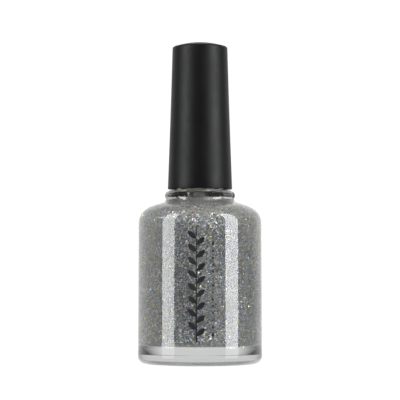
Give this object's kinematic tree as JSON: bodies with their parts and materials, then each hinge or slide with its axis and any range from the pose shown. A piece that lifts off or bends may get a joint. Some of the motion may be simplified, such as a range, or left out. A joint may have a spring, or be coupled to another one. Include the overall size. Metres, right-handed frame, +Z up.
{
  "type": "nail polish bottle",
  "caption": "Round glass nail polish bottle with lacquer, printed front and a tall tapered screw cap that carries the brush.",
  "frame": {"origin": "centre of the flat ring the bottle stands on", "axes": "+Z up along the bottle's axis; the printed front faces -Y; +X is to the right seen from the front"},
  "size_m": [0.03, 0.0301, 0.078],
  "materials": {
    "clear_glass": "clear, polished, slightly wavy moulded glass",
    "glitter_lacquer": "grey translucent lacquer packed with fine silver glitter",
    "steel_ball": "polished steel ball",
    "black_ink": "screen-printed black ink",
    "soft_touch_black": "black soft-touch coating",
    "insert_plastic": "black moulded polypropylene",
    "liner_foam": "white foamed liner",
    "stem_plastic": "black moulded polyethylene",
    "anchor_metal": "flat galvanised wire",
    "nylon_filament": "black nylon filaments"
  },
  "bodies": {
    "bottle": {"bottle_glass": "clear_glass", "lacquer": "glitter_lacquer", "mixing_balls": "steel_ball", "front_print": "black_ink"},
    "seal": {"seal_liner": "liner_foam"},
    "brush": {"brush_stem": "stem_plastic", "tuft_anchor": "anchor_metal", "bristles": "nylon_filament"},
    "cap": {"outer_cap": "soft_touch_black", "inner_cap": "insert_plastic"}
  },
  "joints": [
    {"name": "brush_lift", "type": "slide", "parent": "bottle", "child": "seal", "axis": [0, 0, 1], "range_m": [0, 0.056]},
    {"name": "cap_rise", "type": "slide", "parent": "seal", "child": "brush", "axis": [0, 0, 1], "range_m": [0, 0.00318]},
    {"name": "cap_turn", "type": "hinge", "parent": "brush", "child": "cap", "pos_m": [0, 0, 0.048], "axis": [0, 0, 1], "range_deg": [0, 540]}
  ],
  "couplings": [
    {"joint": "cap_turn", "follows": "cap_rise", "rad_per_m": 2968}
  ]
}
